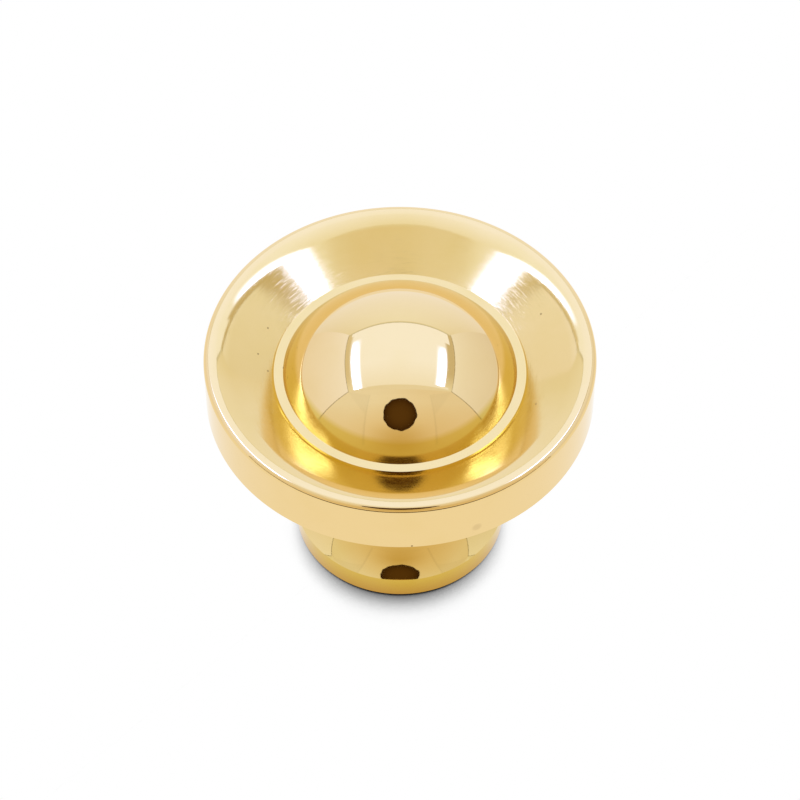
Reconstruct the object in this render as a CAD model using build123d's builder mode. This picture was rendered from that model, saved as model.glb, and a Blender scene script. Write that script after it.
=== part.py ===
"""Cabinet knob turned from one piece of solid brass.

The axis is Z and the flat face of the foot lies on z = 0. A domed centre rises from a narrow flat ring,
a dish runs from a small step below the ring up to a rounded rim, and a waisted neck flares out to the
foot. A blind hole in the foot takes the fixing screw.
"""
import os
from math import asin, cos, degrees, radians, sin, tan

from build123d import *

os.makedirs("parts", exist_ok=True)

# Foot and neck, in millimetres
foot_radius = 10.82
foot_band_height = 2.99
foot_band_taper = 0.14
foot_edge_chamfer = 0.33
flare_radius = 9.96
neck_radius = 5.8
neck_length = 0.37

# Head
head_radius = 19.05
under_cone_width = 3.8
under_cone_height = 5.23
underside_slope = 18.0
rim_depth = 5.94
rim_lower_chamfer = 0.1
rim_outer_round = 0.66
rim_flat_width = 0.39

# Dish, ring and dome
lip_edge_radius = 0.75
lip_edge_angle = 20.5
lip_shoulder_radius = 7.5
dish_slope = 31.4
ring_width = 0.9
ring_step = 0.17
ring_step_width = 0.09
dome_base_radius = 11.42
dome_rise = 6.31

# Blind hole for an M4 screw: the wall is at the tapping drill's size
hole_radius = 1.65
hole_depth = 11.0
hole_mouth_chamfer = 0.5
drill_point_angle = 118.0

# Heights follow from the foot upwards
flare_end_angle = degrees(asin(1 - (foot_radius - neck_radius) / flare_radius))
neck_start_height = foot_band_height + flare_radius * cos(radians(flare_end_angle))
neck_end_height = neck_start_height + neck_length
cone_top_radius = neck_radius + under_cone_width
cone_top_height = neck_end_height + under_cone_height
rim_lower_height = cone_top_height + (head_radius - cone_top_radius) * tan(radians(underside_slope))
rim_top_height = rim_lower_height + rim_depth

# From the rim's flat crest the lip falls by a tight edge and a wide shoulder to the dish wall's slope
edge_sin, edge_cos = sin(radians(lip_edge_angle)), cos(radians(lip_edge_angle))
slope_sin, slope_cos = sin(radians(dish_slope)), cos(radians(dish_slope))
lip_width = lip_edge_radius * edge_sin + lip_shoulder_radius * (slope_sin - edge_sin)
lip_drop = lip_edge_radius * (1 - edge_cos) + lip_shoulder_radius * (edge_cos - slope_cos)

# The straight dish wall reaches from the lip down to the step below the ring
ring_outer_radius = dome_base_radius + ring_width
dish_start_radius = ring_outer_radius + ring_step_width
crest_start_radius = head_radius - rim_outer_round - rim_flat_width
dish_wall_width = crest_start_radius - lip_width - dish_start_radius
dish_wall_length = dish_wall_width / slope_cos
dish_start_height = rim_top_height - lip_drop - dish_wall_width * slope_sin / slope_cos
ring_height = dish_start_height + ring_step

# The dome is a cap of a sphere that stands on the ring's inner edge
dome_radius = (dome_base_radius**2 + dome_rise**2) / (2 * dome_rise)
dome_angle = degrees(asin(dome_base_radius / dome_radius))
dome_top_height = ring_height + dome_rise

with BuildPart() as knob:
    with BuildSketch(Plane.XZ) as half_section:
        with BuildLine():
            centre_line = Line((0, 0), (0, dome_top_height))
            dome = JernArc(centre_line @ 1, (1, 0), dome_radius, -dome_angle)
            ring = Line(dome @ 1, (ring_outer_radius, ring_height))
            ring_edge = Line(ring @ 1, (dish_start_radius, dish_start_height))
            dish_wall = PolarLine(ring_edge @ 1, dish_wall_length, dish_slope)
            shoulder_turn = dish_slope - lip_edge_angle
            shoulder = JernArc(dish_wall @ 1, dish_wall % 1, lip_shoulder_radius, -shoulder_turn)
            lip_edge = JernArc(shoulder @ 1, shoulder % 1, lip_edge_radius, -lip_edge_angle)
            crest = PolarLine(lip_edge @ 1, rim_flat_width, 0)
            outer_round = JernArc(crest @ 1, (1, 0), rim_outer_round, -90)
            rim_wall = Line(outer_round @ 1, (head_radius, rim_lower_height))
            underside = Line(rim_wall @ 1, (cone_top_radius, cone_top_height))
            under_cone = Line(underside @ 1, (neck_radius, neck_end_height))
            neck = Line(under_cone @ 1, (neck_radius, neck_start_height))
            flare = JernArc(neck @ 1, (0, -1), flare_radius, 90 - flare_end_angle)
            foot_band = Line(flare @ 1, (foot_radius - foot_band_taper, foot_edge_chamfer))
            foot_edge = Line(foot_band @ 1, (foot_radius - foot_band_taper - foot_edge_chamfer, 0))
            Line(foot_edge @ 1, (0, 0))
        make_face()
        rim_lower_corner = half_section.vertices().sort_by_distance(rim_wall @ 1)[0]
        chamfer(rim_lower_corner, rim_lower_chamfer)
    revolve(axis=Axis.Z)

    with BuildSketch(Plane.XZ):
        with BuildLine():
            drill_point_height = hole_radius / tan(radians(drill_point_angle / 2))
            Polyline(
                (0, 0),
                (hole_radius + hole_mouth_chamfer, 0),
                (hole_radius, hole_mouth_chamfer),
                (hole_radius, hole_depth),
                (0, hole_depth + drill_point_height),
                close=True,
            )
        make_face()
    revolve(axis=Axis.Z, mode=Mode.SUBTRACT)

knob.part.label = "knob"
export_step(knob.part, "parts/knob.step")
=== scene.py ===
"""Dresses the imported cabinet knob: a polished, turned brass surface inside a light tent with tinted sheets.

The knob is one lathe mesh, made from the same sizes as the CAD solid, with its own normals so that its
mirrored surroundings stay smooth, and with the screw hole's thread cut into it.
"""

from math import asin, cos, pi, radians, sin, tan

import bpy
import numpy as np
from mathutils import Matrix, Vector


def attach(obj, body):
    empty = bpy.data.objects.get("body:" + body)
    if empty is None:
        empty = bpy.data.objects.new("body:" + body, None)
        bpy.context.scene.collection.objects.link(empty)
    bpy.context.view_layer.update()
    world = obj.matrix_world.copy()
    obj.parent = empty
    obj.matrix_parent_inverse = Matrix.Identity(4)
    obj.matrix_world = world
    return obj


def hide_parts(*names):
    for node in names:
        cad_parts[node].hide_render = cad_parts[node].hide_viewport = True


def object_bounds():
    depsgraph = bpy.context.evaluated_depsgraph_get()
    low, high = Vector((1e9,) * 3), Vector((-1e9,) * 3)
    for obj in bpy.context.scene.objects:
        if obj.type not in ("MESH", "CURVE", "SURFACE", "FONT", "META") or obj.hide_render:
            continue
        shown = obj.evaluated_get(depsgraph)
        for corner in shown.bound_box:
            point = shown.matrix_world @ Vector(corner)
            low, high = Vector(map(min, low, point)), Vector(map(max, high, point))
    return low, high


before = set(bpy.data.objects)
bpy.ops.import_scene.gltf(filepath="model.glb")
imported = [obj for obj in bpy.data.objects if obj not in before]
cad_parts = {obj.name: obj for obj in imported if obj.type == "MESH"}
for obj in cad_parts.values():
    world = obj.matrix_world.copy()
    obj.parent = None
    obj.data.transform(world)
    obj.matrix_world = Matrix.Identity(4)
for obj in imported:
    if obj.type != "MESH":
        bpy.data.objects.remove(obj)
cad_low, cad_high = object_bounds()

# Sizes of the turned profile, in millimetres, as the CAD solid has them
MM = 0.001
head_radius = (cad_high.x - cad_low.x) / 2 / MM
foot_radius = 10.82
foot_band_height = 2.99
foot_band_taper = 0.14
foot_edge_chamfer = 0.33
flare_radius = 9.96
neck_radius = 5.8
neck_length = 0.37
under_cone_width = 3.8
under_cone_height = 5.23
underside_slope = radians(18.0)
rim_depth = 5.94
rim_lower_chamfer = 0.1
rim_outer_round = 0.66
rim_flat_width = 0.39
lip_edge_radius = 0.75
lip_edge_angle = radians(20.5)
lip_shoulder_radius = 7.5
dish_slope = radians(31.4)
ring_width = 0.9
ring_step = 0.17
ring_step_width = 0.09
dome_base_radius = 11.42
dome_rise = 6.31

# Screw hole with an M4 thread
hole_radius = 1.65
hole_depth = 11.0
hole_mouth_chamfer = 0.5
drill_point_angle = radians(118.0)
thread_pitch = 0.7
thread_depth = 0.33
thread_end = 9.6
thread_fade = 0.6

# Fineness of the lathe mesh
columns = 256
rows_per_thread_turn = 9
mesh_rows = {
    "dome": 44,
    "dome_turn": 10,
    "dome_flank": 14,
    "ring": 2,
    "dish_wall": 6,
    "shoulder": 14,
    "lip_edge": 10,
    "crest": 8,
    "outer_round": 20,
    "rim_wall": 4,
    "underside": 6,
    "under_cone": 4,
    "flare": 28,
    "band": 2,
    "foot_face": 4,
    "drill_point": 2,
}

# Finish of each stretch of the profile at its start and end: depth of tone, turning lines and roughness. The
# depth of tone is painted reflection and shade: a deeper gold where the metal mirrors itself or a shadow, and
# in the hole
flank_start_radius = 9.9
flank_full_radius = 10.3
painted_depth_and_finish = {
    "dome": ((0.0, 0.10, 0.035), (0.0, 0.10, 0.035)),
    "dome_turn": ((0.0, 0.10, 0.035), (0.65, 0.30, 0.06)),
    "dome_flank": ((0.65, 0.30, 0.06), (0.75, 0.8, 0.16)),
    "ring": ((0.2, 0.30, 0.06), (0.2, 0.30, 0.06)),
    "ring_edge": ((0.8, 0.30, 0.06), (0.8, 0.30, 0.06)),
    "dish_wall": ((0.22, 3.0, 0.14), (0.24, 1.0, 0.08)),
    "shoulder": ((0.24, 1.0, 0.08), (0.12, 0.4, 0.05)),
    "lip": ((0.12, 0.4, 0.05), (0.0, 0.15, 0.045)),
    "outer_round": ((0.0, 0.1, 0.045), (0.0, 0.1, 0.07)),
    "rim_wall": ((0.0, 0.25, 0.05), (0.0, 0.25, 0.05)),
    "rim_chamfer": ((0.2, 0.3, 0.06), (0.2, 0.3, 0.06)),
    "underside": ((0.3, 1.0, 0.09), (0.4, 1.0, 0.09)),
    "under_cone": ((0.4, 1.0, 0.09), (0.4, 0.8, 0.08)),
    "neck": ((0.4, 0.8, 0.08), (0.3, 0.6, 0.07)),
    "flare": ((0.3, 0.6, 0.07), (0.32, 0.2, 0.04)),
    "band": ((0.84, 0.3, 0.06), (0.84, 0.3, 0.06)),
    "foot_edge": ((0.84, 0.3, 0.06), (0.6, 0.5, 0.08)),
    "foot_face": ((0.4, 1.5, 0.16), (0.4, 1.5, 0.16)),
    "thread": ((0.6, 0.0, 0.15), (0.8, 0.0, 0.15)),
    "drill_point": ((0.8, 0.5, 0.2), (0.8, 0.5, 0.2)),
}

# Turning lines and waves left by the polishing, and marks: radius, angle in degrees, height, size, strength
lines_per_mm = 13.0
line_breaks = 5.0
line_depth = 0.9e-6
scratch_depth = 0.7e-6
wave_scale = 0.35
wave_depth = 3.0e-6
scratch_fineness = 1.7
scratch_low = 0.58
scratch_high = 0.8
patch_scale = 0.22
patch_depth = 0.12
marks = (
    (13.84, 159.8, 23.98, 0.10, 1.0),
    (13.94, 174.0, 24.04, 0.10, 1.0),
    (12.87, -179.3, 23.40, 0.10, 1.0),
    (15.09, 23.2, 24.74, 0.10, 1.0),
    (13.94, -19.9, 24.04, 0.10, 1.0),
    (19.05, -86.6, 20.55, 0.12, 1.0),
    (11.40, 178.4, 23.32, 0.10, 1.0),
    (19.05, -67.6, 21.66, 0.60, 0.16),
)

# Light tent, in metres: its height above its base, the base, and how far the front seams stand clear
tent = 0.3187
tent_base = 0.0249
seam_clear = 0.002

# Shape of the tent, in shares of its height, so that the directions match the mirrored seams
tent_low = -0.04
half_width = 0.945
back = 1.11
curtain_corner = -0.24
curtain_bulge = -0.06
ceiling_front = -0.225
strip_level = 0.985
seam_level = 0.98
seam_width = 0.010
back_seam_width = 0.070
skirt_height = 0.016
flap_low = (0.17, 0.12)
flap_high = (0.37, 0.76)
fold_low = (0.17, 0.28)
fold_corner = (0.93, 0.98)
fold_clear = 0.003
flap_clear = 0.004
flap_edge_clear = 0.005
flap_edge_width = 0.014
lens_clear = 0.008

# Strip lights in the same shares: inner edge, outer edge, front and back
strips = {"left": (-0.514, -0.85, -0.23, 0.95), "right": (0.485, 0.845, -0.18, 0.72)}

# Light of a strip: across its width from -1 to 1, and along its length from 0 to 1
shade_start = {"left": 0.60, "right": 0.28}
shade_fade = 0.35
lit_start = {"left": -0.60, "right": -0.75}
lit_inner_fade = 0.75
lit_end = {"left": 0.72, "right": 0.50}
lit_outer_fade = 0.22
lit_back = 0.85
lit_back_fade = 0.4
lit_falloff = 1.5

# Where the light of the curtain, ceiling and margins changes, and over what width, in shares of the height
curtain_dim_level = 0.10
curtain_dim_fade = 0.45
curtain_side_reach = 0.5
curtain_right_reach = 0.6
dark_patch_level = 0.17
dark_patch_width = 0.13
dark_patch_height = 0.09
ceiling_fade = 0.4
margin_fade = 0.3

# Camera, found from the ellipses of the rim, ring and foot
camera_elevation = radians(51.99)
camera_distance = 0.29874
camera_target = Vector((0, 0, 0.0186))
camera_lens = 136.08
sensor = 36.0
near_clip = 0.01

# Dark round of the lens: the height it is seen from, in metres, and half the angle it fills from there
lens_level = 0.0219
lens_half_angle = radians(13.8)

# Lobes of the lens's edge: depth, how many there are, and where they start
lens_lobes = ((0.016, 9, 0.6), (0.012, 14, 2.0), (0.012, 5, 0.0))

# Floor, in metres, and the shade at the foot: its reach, the way it leans and the openness it spans
floor_reach = 2.5
floor_level = -0.00005
shade_reach = 0.008
shade_lean_back = 0.7
shade_lean_up = 0.714
shade_dark = 0.225
shade_clear = 0.655

# Colours, linear, and factors on them
brass = (0.86, 0.635, 0.29)
# Deeper gold, painted where the metal mirrors itself a second time or mirrors shade, and in hollows such as
# the hole
painted_reflection_brass = (0.68, 0.45, 0.015)
mark_colour = (0.16, 0.07, 0.01)
ceiling_back_glow = (1.10, 1.27, 1.90)
ceiling_front_glow = (1.03, 1.13, 1.45)
back_low_glow = (1.03, 1.14, 1.58)
back_high_glow = (1.00, 1.10, 1.34)
back_end_shade = (0.93, 0.88, 0.78)
left_glow = ((0.95, 0.95, 1.05), (1.04, 1.14, 1.60))
right_glow = ((0.86, 0.86, 0.94), (1.00, 1.09, 1.40))
margin_glow = {"left": (0.80, 0.78, 0.72), "right": (0.70, 0.66, 0.56)}
margin_front_glow = (0.95, 1.00, 1.05)
valance_glow = (0.92, 0.95, 1.02)
curtain_high_glow = (0.94, 0.97, 1.06)
curtain_side_glow = (0.90, 0.84, 0.76)
curtain_centre_glow = (0.84, 0.72, 0.48)
curtain_dark_glow = (0.70, 0.56, 0.28)
curtain_right_shade = (0.96, 0.91, 0.82)
fold_shade = 0.96
flap_edge_shade = 0.92
flap_gain = 1.015
strip_glow = (2.6, 4.2, 16.0)
seam_glow = (0.26, 0.22, 0.15)
back_seam_dark = (0.60, 0.62, 0.60)
back_seam_pale = (0.97, 1.03, 1.15)
skirt_glow = (0.08, 0.05, 0.02)
warm_shade_glow = (0.60, 0.38, 0.42)
floor_colour = (0.8, 0.8, 0.8)
lens_centre_glow = (0.10, 0.05, 0.012)
lens_rim_glow = (0.035, 0.014, 0.003)


def straight(start, end, steps=1):
    """A straight run of the half section: points as (radius, height), and the normal on its left."""
    points = np.linspace(start, end, steps + 1)
    along = (points[-1] - points[0]) / np.linalg.norm(points[-1] - points[0])
    normals = np.tile((-along[1], along[0]), (steps + 1, 1))
    return points, normals


def arc(centre, radius, start, end, steps):
    """An arc of the half section, from one angle to another, with the normal on its left."""
    angles = np.linspace(start, end, steps + 1)
    outward = np.column_stack([np.cos(angles), np.sin(angles)])
    side = 1 if end < start else -1
    return np.asarray(centre) + radius * outward, side * outward


def shaded_softer(points, start_slope):
    """A run that is shaded softer than its shape: its normals ease from a slope to level."""
    share = (points[:, 0] - points[0, 0]) / (points[-1, 0] - points[0, 0])
    slope = start_slope * (1 - share) ** 2
    return points, np.column_stack([-np.sin(slope), np.cos(slope)])


def half_section():
    """The runs of the turned profile, from the dome's top round to the mouth of the screw hole."""
    flare_end = asin(1 - (foot_radius - neck_radius) / flare_radius)
    neck_start_height = foot_band_height + flare_radius * cos(flare_end)
    neck_end_height = neck_start_height + neck_length
    cone_top = (neck_radius + under_cone_width, neck_end_height + under_cone_height)
    rim_lower_height = cone_top[1] + (head_radius - cone_top[0]) * tan(underside_slope)
    rim_top_height = rim_lower_height + rim_depth

    crest_radius = head_radius - rim_outer_round
    edge_centre = (crest_radius - rim_flat_width, rim_top_height - lip_edge_radius)
    radius_change = lip_shoulder_radius - lip_edge_radius
    shoulder_centre = (
        edge_centre[0] + radius_change * sin(lip_edge_angle),
        edge_centre[1] - radius_change * cos(lip_edge_angle),
    )
    quarter = pi / 2
    shoulder_end = quarter + lip_edge_angle
    shoulder_start = quarter + dish_slope
    shoulder = arc(
        shoulder_centre, lip_shoulder_radius, shoulder_start, shoulder_end, mesh_rows["shoulder"],
    )
    dish_end = shoulder[0][0]
    dish_start_radius = dome_base_radius + ring_width + ring_step_width
    dish_start = (dish_start_radius, dish_end[1] - (dish_end[0] - dish_start_radius) * tan(dish_slope))
    ring_height = dish_start[1] + ring_step
    ring_outer = (dome_base_radius + ring_width, ring_height)

    dome_radius = (dome_base_radius**2 + dome_rise**2) / (2 * dome_rise)
    dome_angle = asin(dome_base_radius / dome_radius)
    turn_angle = asin(flank_start_radius / dome_radius)
    flank_angle = asin(flank_full_radius / dome_radius)
    dome_centre = (0, ring_height + dome_rise - dome_radius)

    runs = {}
    dome_ends = {
        "dome": (0, turn_angle),
        "dome_turn": (turn_angle, flank_angle),
        "dome_flank": (flank_angle, dome_angle),
    }
    for name, (start, end) in dome_ends.items():
        runs[name] = arc(dome_centre, dome_radius, quarter - start, quarter - end, mesh_rows[name])
    runs["ring"] = straight((dome_base_radius, ring_height), ring_outer, mesh_rows["ring"])
    runs["ring_edge"] = straight(ring_outer, dish_start)
    runs["dish_wall"] = straight(dish_start, dish_end, mesh_rows["dish_wall"])
    runs["shoulder"] = shoulder
    lip_edge, _ = arc(edge_centre, lip_edge_radius, shoulder_end, quarter, mesh_rows["lip_edge"])
    crest, _ = straight(lip_edge[-1], (crest_radius, rim_top_height), mesh_rows["crest"])
    runs["lip"] = shaded_softer(np.concatenate([lip_edge, crest[1:]]), lip_edge_angle)
    outer_centre = (crest_radius, rim_top_height - rim_outer_round)
    runs["outer_round"] = arc(outer_centre, rim_outer_round, quarter, 0, mesh_rows["outer_round"])
    wall_end = (head_radius, rim_lower_height + rim_lower_chamfer)
    runs["rim_wall"] = straight(runs["outer_round"][0][-1], wall_end, mesh_rows["rim_wall"])
    underside_start = (
        head_radius - rim_lower_chamfer * cos(underside_slope),
        rim_lower_height - rim_lower_chamfer * sin(underside_slope),
    )
    runs["rim_chamfer"] = straight(wall_end, underside_start)
    runs["underside"] = straight(underside_start, cone_top, mesh_rows["underside"])
    neck_top = (neck_radius, neck_end_height)
    runs["under_cone"] = straight(cone_top, neck_top, mesh_rows["under_cone"])
    flare_centre = (neck_radius + flare_radius, neck_start_height)
    flare = arc(flare_centre, flare_radius, pi, 3 * quarter - flare_end, mesh_rows["flare"])
    runs["neck"] = straight(runs["under_cone"][0][-1], flare[0][0])
    runs["flare"] = flare
    band_end = (foot_radius - foot_band_taper, foot_edge_chamfer)
    runs["band"] = straight(flare[0][-1], band_end, mesh_rows["band"])
    runs["foot_edge"] = straight(band_end, (band_end[0] - foot_edge_chamfer, 0))
    foot_face_end = (hole_radius + hole_mouth_chamfer, 0)
    runs["foot_face"] = straight(runs["foot_edge"][0][-1], foot_face_end, mesh_rows["foot_face"])
    return runs


def turned(run, turn):
    """The grid of points and normals that a run of the half section sweeps, row by row."""
    points, normals = run
    round_x, round_y = np.cos(turn), np.sin(turn)
    grids = []
    for pairs in (points, normals):
        out, up = pairs[:, :1], pairs[:, 1:]
        level = np.broadcast_to(up, (len(up), len(turn)))
        grids.append(np.stack([out * round_x, out * round_y, level], axis=-1))
    return grids


def threaded_hole(turn):
    """The hole from its mouth to the drill's point: a chamfer, the helical thread and a plain end."""
    turns = hole_depth / thread_pitch
    heights = np.linspace(0, hole_depth, int(turns * rows_per_thread_turn) + 1)[:, None]
    wave = 0.5 - 0.5 * np.cos(2 * pi * heights / thread_pitch - turn)
    fade = np.clip((thread_end - heights) / thread_fade, 0, 1)
    wall = hole_radius + thread_depth * wave * fade
    chamfer = hole_radius + hole_mouth_chamfer - heights
    radius = np.maximum(wall, chamfer)
    level = np.broadcast_to(heights, radius.shape)
    points = np.stack([radius * np.cos(turn), radius * np.sin(turn), level], axis=-1)
    up = np.gradient(points, axis=0)
    around = (np.roll(points, -1, axis=1) - np.roll(points, 1, axis=1)) / 2
    normals = np.cross(up, around)
    return [points, normals / np.linalg.norm(normals, axis=-1, keepdims=True)]


def make_knob():
    """The knob as one closed mesh, with its own normals, its painted depth of tone and its turned finish kept
    at every corner.
    """
    turn = np.linspace(0, 2 * pi, columns, endpoint=False)
    runs = {name: turned(run, turn) for name, run in half_section().items()}
    runs["thread"] = threaded_hole(turn)
    point_height = hole_radius / tan(drill_point_angle / 2)
    drill_tip = (0, hole_depth + point_height)
    drill_point = straight((hole_radius, hole_depth), drill_tip, mesh_rows["drill_point"])
    runs["drill_point"] = turned(drill_point, turn)

    # The first and last rows shrink to one vertex each, on the axis
    rows = np.concatenate([points[1:] for points, _ in runs.values()])
    vertices = np.concatenate([runs["dome"][0][0, :1], rows[:-1].reshape(-1, 3), rows[-1, :1]])
    last = len(rows)
    index = 1 + (np.arange(last + 1)[:, None] - 1) * columns + np.arange(columns)
    index[0] = 0
    index[last] = len(vertices) - 1

    here = np.arange(columns)
    beside = np.roll(here, -1)
    faces, corner_normals, corner_painted_depth_and_finish = [], [], []
    row = 0
    for name, (points, normals) in runs.items():
        # The first channel carries the painted reflection and shade, the other two the turning lines and
        # roughness
        rows_painted_depth_and_finish = np.linspace(*painted_depth_and_finish[name], len(points))
        for step in range(len(points) - 1):
            corners = [(0, here), (1, here), (1, beside), (0, beside)]
            if row == 0:
                corners.pop(3)
            if row == last - 1:
                corners.pop(2)
            faces += np.column_stack([index[row + down, column] for down, column in corners]).tolist()
            corner_rows = [normals[step + down, column] for down, column in corners]
            corner_normals.append(np.stack(corner_rows, axis=1))
            levels = [np.tile(rows_painted_depth_and_finish[step + down], (columns, 1)) for down, _ in corners]
            corner_painted_depth_and_finish.append(np.stack(levels, axis=1))
            row += 1
    mesh = bpy.data.meshes.new("turned_knob")
    mesh.from_pydata((vertices * MM).tolist(), [], faces)
    mesh.polygons.foreach_set("use_smooth", np.ones(len(mesh.polygons), bool))
    levels = np.concatenate([part.reshape(-1, 3) for part in corner_painted_depth_and_finish])
    layer = mesh.color_attributes.new("painted_depth_and_finish", "FLOAT_COLOR", "CORNER")
    layer.data.foreach_set("color", np.column_stack([levels, np.ones(len(levels))]).ravel())
    normals = np.concatenate([part.reshape(-1, 3) for part in corner_normals])
    mesh.normals_split_custom_set(normals.tolist())
    mesh.update()
    knob = bpy.data.objects.new("turned_knob", mesh)
    bpy.context.scene.collection.objects.link(knob)
    return knob


def new_tree(name):
    """A new material and its empty node tree."""
    material = bpy.data.materials.new(name)
    material.use_nodes = True
    material.node_tree.nodes.clear()
    return material, material.node_tree


def node(tree, kind, inputs=None, **settings):
    """A new node; each of its inputs is given as a plain value or as another node's output."""
    made = tree.nodes.new("ShaderNode" + kind)
    for name, value in settings.items():
        setattr(made, name, value)
    for socket, value in (inputs or {}).items():
        if isinstance(value, bpy.types.NodeSocket):
            tree.links.new(value, made.inputs[socket])
        else:
            made.inputs[socket].default_value = value
    return made


def number(tree, operation, first, second=0.0):
    return node(tree, "Math", {0: first, 1: second}, operation=operation).outputs[0]


def vector(tree, operation, first, **inputs):
    return node(tree, "VectorMath", {0: first, **inputs}, operation=operation)


def mix_colour(tree, factor, first, second):
    inputs = {"Factor": factor, 6: first, 7: second}
    return node(tree, "Mix", inputs, data_type="RGBA").outputs[2]


def brass_material():
    """Polished brass: a tone set for each stretch of the profile that paints reflection and shade as a deeper
    gold, turning lines, faint waves and marks.
    """
    material, tree = new_tree("polished_brass")
    place = node(tree, "TexCoord").outputs["Object"]
    place_mm = vector(tree, "SCALE", place, Scale=1 / MM).outputs[0]
    flat = node(tree, "VectorMath", {0: place_mm, 1: (1, 1, 0)}, operation="MULTIPLY").outputs[0]
    radius = vector(tree, "LENGTH", flat).outputs["Value"]
    around = vector(tree, "NORMALIZE", flat).outputs[0]
    height = node(tree, "SeparateXYZ", {0: place_mm}).outputs["Z"]
    layers = node(tree, "Attribute", attribute_name="painted_depth_and_finish").outputs["Color"]
    # depth is painted reflection and shade: how far each stretch turns to the deeper gold
    depth, line_share, roughness = node(tree, "SeparateColor", {0: layers}).outputs[:3]

    # Lines run round the axis and break off after a short way
    across_lines = number(tree, "MULTIPLY", number(tree, "ADD", radius, height), lines_per_mm)
    line_level = node(tree, "CombineXYZ", {"Z": across_lines}).outputs[0]
    line_turn = vector(tree, "SCALE", around, Scale=line_breaks).outputs[0]
    line_place = node(tree, "VectorMath", {0: line_turn, 1: line_level}, operation="ADD").outputs[0]
    lines = node(tree, "TexNoise", {"Vector": line_place, "Scale": 1.0, "Detail": 2.0}).outputs["Fac"]
    waves = node(tree, "TexNoise", {"Vector": place_mm, "Scale": wave_scale, "Detail": 0.0}).outputs["Fac"]
    wave_bump = node(tree, "Bump", {"Strength": 1.0, "Distance": wave_depth, "Height": waves})
    line_inputs = {
        "Strength": line_share,
        "Distance": line_depth,
        "Height": lines,
        "Normal": wave_bump.outputs[0],
    }
    line_bump = node(tree, "Bump", line_inputs)
    scratch_place = vector(tree, "SCALE", line_place, Scale=scratch_fineness).outputs[0]
    scratch_noise = node(tree, "TexNoise", {"Vector": scratch_place, "Scale": 1.0}).outputs["Fac"]
    scratch_limits = {"Value": scratch_noise, "From Min": scratch_low, "From Max": scratch_high}
    scratches = node(tree, "MapRange", scratch_limits).outputs[0]
    scratch_inputs = {
        "Strength": line_share,
        "Distance": scratch_depth,
        "Height": scratches,
        "Normal": line_bump.outputs[0],
    }
    scratch_bump = node(tree, "Bump", scratch_inputs)

    marked = None
    for mark_out, mark_turn, mark_level, size, strength in marks:
        turn = radians(mark_turn)
        centre = (mark_out * cos(turn), mark_out * sin(turn), mark_level)
        apart = node(tree, "VectorMath", {0: place_mm, 1: centre}, operation="DISTANCE").outputs["Value"]
        spot_inputs = {"Value": apart, "From Min": size, "From Max": size / 2, "To Max": strength}
        spot = node(tree, "MapRange", spot_inputs).outputs[0]
        marked = spot if marked is None else number(tree, "MAXIMUM", marked, spot)

    patches = node(tree, "TexNoise", {"Vector": place_mm, "Scale": patch_scale, "Detail": 3.0}).outputs["Fac"]
    patch_limits = {"Value": patches, "To Min": -patch_depth, "To Max": patch_depth}
    patch_share = node(tree, "MapRange", patch_limits).outputs[0]
    # The painted reflection and shade, with patches of tone that differ at random
    tone = number(tree, "ADD", depth, patch_share)
    metal = mix_colour(tree, tone, (*brass, 1), (*painted_reflection_brass, 1))
    colour = mix_colour(tree, marked, metal, (*mark_colour, 1))
    shader_inputs = {
        "Base Color": colour, "Metallic": 1.0, "Roughness": roughness, "Normal": scratch_bump.outputs[0],
    }
    shader = node(tree, "BsdfPrincipled", shader_inputs)
    node(tree, "OutputMaterial", {"Surface": shader.outputs["BSDF"]})
    return material


def glow_material():
    """Light that each sheet of the tent gives off, as its own colour layer says."""
    material, tree = new_tree("tent_glow")
    colour = node(tree, "Attribute", attribute_name="glow").outputs["Color"]
    emission = node(tree, "Emission", {"Color": colour})
    node(tree, "OutputMaterial", {"Surface": emission.outputs["Emission"]})
    return material


def spread(corners, steps=1):
    """Points, or colours, spread evenly between four corners given in order round the sheet."""
    first, second, third, fourth = (np.asarray(corner, float) for corner in corners)
    u = np.linspace(0, 1, steps + 1)[None, :, None]
    v = np.linspace(0, 1, steps + 1)[:, None, None]
    return (1 - v) * ((1 - u) * first + u * second) + v * ((1 - u) * fourth + u * third)


def stage_sheet(name, points, material):
    """A grid of points as a sheet that is no part of the knob."""
    rows, count = points.shape[:2]
    index = np.arange(rows * count).reshape(rows, count)
    quads = np.stack([index[:-1, :-1], index[:-1, 1:], index[1:, 1:], index[1:, :-1]], axis=-1)
    mesh = bpy.data.meshes.new(name)
    mesh.from_pydata(points.reshape(-1, 3).tolist(), [], quads.reshape(-1, 4).tolist())
    mesh.materials.append(material)
    piece = bpy.data.objects.new(name, mesh)
    bpy.context.scene.collection.objects.link(piece)
    return piece


def glow_sheet(name, points, colours, material):
    """A sheet of the tent: it lights the knob and shows in it, and the camera looks through it."""
    piece = stage_sheet(name, points, material)
    colours = np.broadcast_to(colours, points.shape).reshape(-1, 3)
    layer = piece.data.color_attributes.new("glow", "FLOAT_COLOR", "POINT")
    layer.data.foreach_set("color", np.column_stack([colours, np.ones(len(colours))]).ravel())
    piece.visible_camera = False


def in_tent(points):
    """Places in the tent, given in shares of its height, as places in metres."""
    return np.asarray(points) * tent + (0, 0, tent_base)


def curtain_place(x, z, clear=0.0):
    """Points on the front curtain, which bulges towards the camera, or a little inside it."""
    bulge = curtain_bulge * (1 - (x / half_width) ** 2)
    return in_tent(np.stack([x, curtain_corner + bulge + clear, z], axis=-1))


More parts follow.
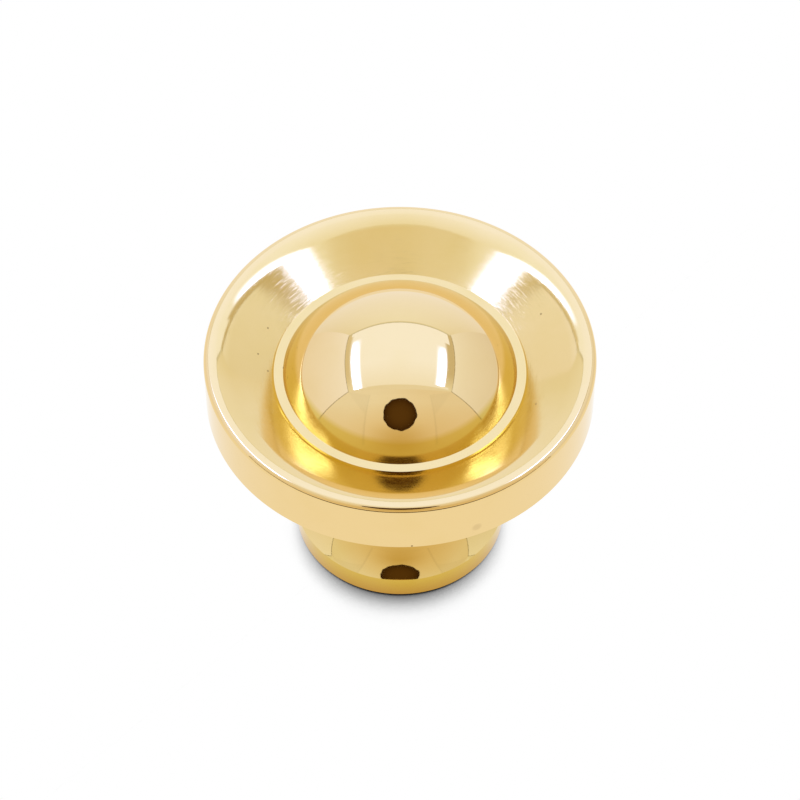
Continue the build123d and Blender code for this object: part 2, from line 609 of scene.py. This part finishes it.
def curtain_glow(x, z):
    """The curtain is dimmer and warmer low down, at the middle and on its right."""
    x, z = x[..., None], z[..., None]
    upward = np.clip((z - curtain_dim_level) / curtain_dim_fade, 0, 1)
    outward = np.clip(np.abs(x) / curtain_side_reach, 0, 1)
    low = curtain_centre_glow + outward * np.subtract(curtain_side_glow, curtain_centre_glow)
    glow = low + upward * (curtain_high_glow - low)
    aside = x / dark_patch_width
    above = (z - dark_patch_level) / dark_patch_height
    below_lens = np.exp(-(aside ** 2) - above ** 2)
    glow = glow + below_lens * (curtain_dark_glow - glow)
    rightward = np.clip(0.5 + x / curtain_right_reach, 0, 1)
    return glow * (1 + rightward * np.subtract(curtain_right_shade, 1))


def ceiling_glow(y):
    """The ceiling is brighter towards the back."""
    backward = np.clip((y[..., None] - ceiling_front) / ceiling_fade, 0, 1)
    return ceiling_front_glow + backward * np.subtract(ceiling_back_glow, ceiling_front_glow)


def margin_light(y, side):
    """The shade beside each strip is deeper away from the curtain."""
    backward = np.clip((y[..., None] - curtain_corner) / margin_fade, 0, 1)
    return margin_front_glow + backward * np.subtract(margin_glow[side], margin_front_glow)


def make_curtain(material):
    across = np.linspace(-half_width, half_width, 41)
    x, z = np.meshgrid(across, np.linspace(skirt_height, 1, 31))
    glow_sheet("tent_front", curtain_place(x, z), curtain_glow(x, z), material)
    x, z = np.meshgrid(across, (tent_low, skirt_height))
    glow_sheet("tent_skirt", curtain_place(x, z), skirt_glow, material)

    flap = spread([(-flap_low[0], flap_low[1]), flap_low, flap_high, (-flap_high[0], flap_high[1])], 12)
    x, z = flap[..., 0], flap[..., 1]
    glow_sheet("tent_flap", curtain_place(x, z, flap_clear), curtain_glow(x, z) * flap_gain, material)
    for name, side in (("left", -1), ("right", 1)):
        low_x, high_x = flap_low[0] + flap_edge_width, flap_high[0] + flap_edge_width
        edge = [flap_low, (low_x, flap_low[1]), (high_x, flap_high[1]), flap_high]
        edge = spread([(side * x, z) for x, z in edge], 8)
        x, z = edge[..., 0], edge[..., 1]
        edge_glow = curtain_glow(x, z) * flap_edge_shade
        glow_sheet(f"tent_flap_edge_{name}", curtain_place(x, z, flap_edge_clear), edge_glow, material)
        fold = spread([(side * x, z) for x, z in (fold_low, fold_corner, fold_corner, flap_high)], 8)
        x, z = fold[..., 0], fold[..., 1]
        fold_glow = curtain_glow(x, z) * fold_shade
        glow_sheet(f"tent_fold_{name}", curtain_place(x, z, fold_clear), fold_glow, material)


def make_tent():
    material = glow_material()
    make_curtain(material)
    left, right = -half_width, half_width
    front = curtain_corner
    for name, x, (low_glow, high_glow) in (("left", left, left_glow), ("right", right, right_glow)):
        wall = [(x, front, tent_low), (x, back, tent_low), (x, back, 1), (x, front, 1)]
        light = [low_glow, low_glow, high_glow, high_glow]
        glow_sheet(f"tent_{name}", in_tent(spread(wall, 6)), spread(light, 6), material)
    wall = [(left, back, tent_low), (right, back, tent_low), (right, back, 1), (left, back, 1)]
    wall = spread(wall, 8)
    light = spread([back_low_glow, back_low_glow, back_high_glow, back_high_glow], 8)
    outward = (wall[..., :1] / half_width) ** 2
    light = light * (1 + outward * np.subtract(back_end_shade, 1))
    glow_sheet("tent_back", in_tent(wall), light, material)
    roof = [(left, ceiling_front, 1), (right, ceiling_front, 1), (right, back, 1), (left, back, 1)]
    roof = spread(roof, 16)
    glow_sheet("tent_ceiling", in_tent(roof), ceiling_glow(roof[..., 1]), material)
    x, z = np.meshgrid(np.linspace(left, right, 41), (1.0,))
    front_edge = curtain_place(x, z)
    rear_edge = front_edge.copy()
    rear_edge[..., 1] = ceiling_front * tent
    glow_sheet("tent_valance", np.concatenate([front_edge, rear_edge]), valance_glow, material)

    # Strip lights hang just below the ceiling, and beyond each of them the ceiling is in shade
    for name, (inner, outer, strip_front, strip_back) in strips.items():
        edge = left if inner < 0 else right
        u, v = np.meshgrid(np.linspace(-1, 1, 25), np.linspace(0, 1, 15))
        x = (inner + outer) / 2 + u * (outer - inner) / 2
        y = strip_front + v * (strip_back - strip_front)
        points = in_tent(np.stack([x, y, np.full(x.shape, strip_level)], axis=-1))
        shaded = np.clip((u - shade_start[name]) / shade_fade, 0, 1)[..., None]
        light = ceiling_glow(y) + shaded * (margin_light(y, name) - ceiling_glow(y))
        inner_fade = np.clip((u - lit_start[name]) / lit_inner_fade, 0, 1) ** lit_falloff
        outer_fade = np.clip((lit_end[name] - u) / lit_outer_fade, 0, 1) ** lit_falloff
        lit = inner_fade * outer_fade * np.clip((lit_back - v) / lit_back_fade, 0, 1)
        light = light + lit[..., None] * strip_glow
        glow_sheet(f"strip_{name}", points, light, material)
        shade = [
            (outer, front, strip_level),
            (edge, front, strip_level),
            (edge, back, strip_level),
            (outer, back, strip_level),
        ]
        shade = spread(shade, 16)
        glow_sheet(f"margin_{name}", in_tent(shade), margin_light(shade[..., 1], name), material)

    for name, x in (("left", left), ("right", right)):
        inner = x - np.sign(x) * seam_width
        seam_front = front - seam_width
        seam = [(x, front, tent_low), (inner, seam_front, tent_low), (inner, seam_front, 1), (x, front, 1)]
        glow_sheet(f"seam_front_{name}", in_tent(spread(seam)) + (0, seam_clear, 0), seam_glow, material)
        seam = [
            (x, front, seam_level),
            (inner, front, seam_level),
            (inner, back, seam_level),
            (x, back, seam_level),
        ]
        glow_sheet(f"seam_ceiling_{name}", in_tent(spread(seam)), seam_glow, material)
    inner = back - back_seam_width
    seam = [
        (left, inner, seam_level),
        (right, inner, seam_level),
        (right, back, seam_level),
        (left, back, seam_level),
    ]
    light = spread([back_seam_dark, back_seam_dark, back_seam_pale, back_seam_pale])
    glow_sheet("seam_ceiling_back", in_tent(spread(seam)), light, material)
    make_lens(material)


def camera_direction():
    return Vector((0, -cos(camera_elevation), sin(camera_elevation)))


def make_lens(material):
    """The dark round of the lens in the curtain, with a lobed edge, which the polished metal mirrors."""
    toward = np.array(camera_direction())
    across = np.array((1.0, 0.0, 0.0))
    upward = np.cross(toward, across)
    turn, share = np.meshgrid(np.linspace(0, 2 * pi, 97), np.linspace(0, 1, 7))
    lobes = sum(depth * np.cos(count * turn + start) for depth, count, start in lens_lobes)
    reach = share * tan(lens_half_angle) * (1 + lobes)
    reach = reach[..., None]
    turn = turn[..., None]
    rays = toward + reach * (np.cos(turn) * across + np.sin(turn) * upward)
    distance = (curtain_corner + curtain_bulge + lens_clear) * tent / rays[..., 1:2]
    points = (0, 0, lens_level) + distance * rays
    light = lens_centre_glow + share[..., None] ** 3 * np.subtract(lens_rim_glow, lens_centre_glow)
    glow_sheet("lens_dark", points, light, material)


def make_floor():
    """A white floor that darkens where the foot shades it; the metal mirrors that shade in a warmer tone."""
    material, tree = new_tree("white_floor")
    leaning = node(tree, "CombineXYZ", {"Y": shade_lean_back, "Z": shade_lean_up}).outputs[0]
    open_inputs = {"Distance": shade_reach, "Normal": leaning}
    shade = node(tree, "AmbientOcclusion", open_inputs, samples=16).outputs["AO"]
    lit = node(tree, "MapRange", {"Value": shade, "From Min": shade_dark, "From Max": shade_clear}).outputs[0]
    path = node(tree, "LightPath").outputs
    shadow = mix_colour(tree, path["Is Glossy Ray"], (0, 0, 0, 1), (*warm_shade_glow, 1))
    white = mix_colour(tree, lit, shadow, (1, 1, 1, 1))
    emission = node(tree, "Emission", {"Color": white}).outputs["Emission"]
    diffuse = node(tree, "BsdfDiffuse", {"Color": (*floor_colour, 1)}).outputs["BSDF"]
    seen = number(tree, "MAXIMUM", path["Is Camera Ray"], path["Is Glossy Ray"])
    seen = number(tree, "MAXIMUM", seen, path["Is Transmission Ray"])
    surface = node(tree, "MixShader", {0: seen, 1: diffuse, 2: emission}).outputs[0]
    node(tree, "OutputMaterial", {"Surface": surface})
    turns = ((-1, -1), (1, -1), (1, 1), (-1, 1))
    corners = [(x * floor_reach, y * floor_reach, floor_level) for x, y in turns]
    stage_sheet("floor", spread(corners), material)


def make_world():
    world = bpy.data.worlds.new("white_world")
    bpy.context.scene.world = world
    world.use_nodes = True
    background = world.node_tree.nodes["Background"]
    background.inputs["Color"].default_value = (1, 1, 1, 1)
    background.inputs["Strength"].default_value = 1.0


def make_camera():
    camera = bpy.data.objects.new("camera", bpy.data.cameras.new("camera"))
    bpy.context.scene.collection.objects.link(camera)
    camera.data.lens = camera_lens
    camera.data.sensor_width = sensor
    camera.data.clip_start = near_clip
    toward = camera_direction()
    camera.location = camera_target + camera_distance * toward
    camera.rotation_mode = "QUATERNION"
    camera.rotation_quaternion = (-toward).to_track_quat("-Z", "Y")
    bpy.context.scene.camera = camera


knob = make_knob()
knob.data.materials.append(brass_material())
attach(knob, "root")
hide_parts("knob")

make_tent()
make_floor()
make_world()
make_camera()
bpy.context.scene.view_settings.view_transform = "Standard"
